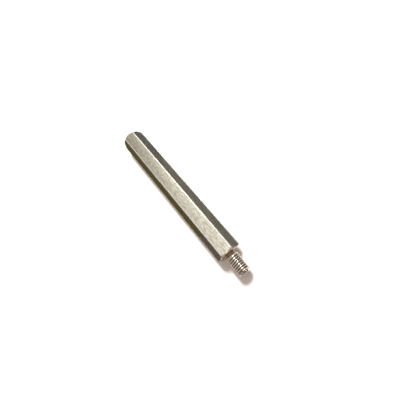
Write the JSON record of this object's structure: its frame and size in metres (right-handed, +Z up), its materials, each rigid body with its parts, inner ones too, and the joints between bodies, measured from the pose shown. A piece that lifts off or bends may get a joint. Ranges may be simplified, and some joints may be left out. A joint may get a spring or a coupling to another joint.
{
  "type": "hex standoff",
  "caption": "Long hexagon spacer with a threaded stud on one end and a tapped blind hole in the other, for holding boards or panels apart.",
  "frame": {"origin": "on the surface the standoff lies on, under the middle of its overall length", "axes": "+X along the axis, towards the tip of the stud; +Z up out of the flat that faces up; +Y across the bar"},
  "size_m": [0.045, 0.0058, 0.005],
  "materials": {
    "nickel_plate": "nickel plated over brass, satin drawn flats with fine grain, brighter turned ends and thread"
  },
  "bodies": {
    "root": {"hex_standoff": "nickel_plate"}
  },
  "joints": []
}
